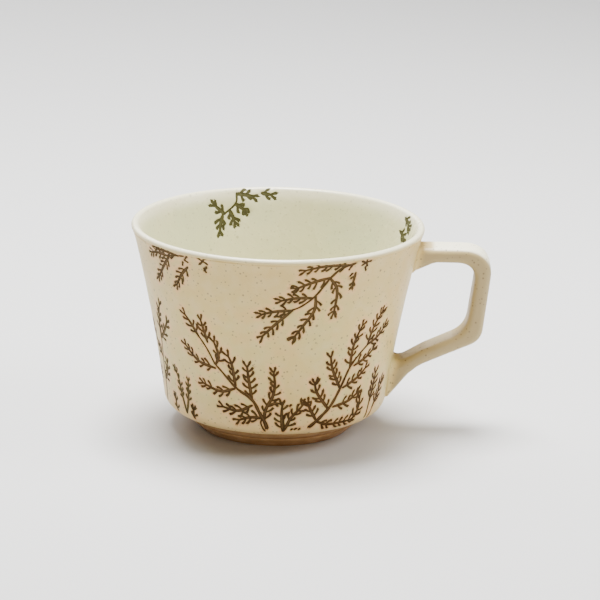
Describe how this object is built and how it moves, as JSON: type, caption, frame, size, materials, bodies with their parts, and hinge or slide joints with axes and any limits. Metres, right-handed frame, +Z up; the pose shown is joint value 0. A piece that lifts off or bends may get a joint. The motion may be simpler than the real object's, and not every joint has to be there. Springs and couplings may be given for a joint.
{
  "type": "stoneware mug",
  "caption": "Wide flared stoneware cup with an angular strap handle, a bare clay foot ring, cream outer glaze over pressed twig decoration and a white liner glaze.",
  "frame": {"origin": "middle of the whole mug's box, handle included, on the plane that the foot stands on; the cup's own axis is 11.48 mm from it, towards -X", "axes": "+Z up along the cup's axis, out of its mouth; +X towards the handle; +Y completes the right-handed frame"},
  "size_m": [0.123, 0.1, 0.0718],
  "materials": {
    "bare_clay": "unglazed brown stoneware, matt and slightly rough",
    "joint_slip": "fired slip of the same clay, under the glaze",
    "cream_glaze": "warm cream satin glaze with fine dark speckles, over dark brown pressed twigs",
    "white_glaze": "pale grey-white glossy liner glaze"
  },
  "bodies": {
    "root": {"clay_body": "bare_clay", "foot_ring": "bare_clay", "handle": "bare_clay", "handle_joint_upper": "joint_slip", "handle_joint_lower": "joint_slip", "liner_glaze": "white_glaze", "outer_glaze": "cream_glaze", "handle_glaze": "cream_glaze", "base_glaze": "white_glaze"}
  },
  "joints": []
}
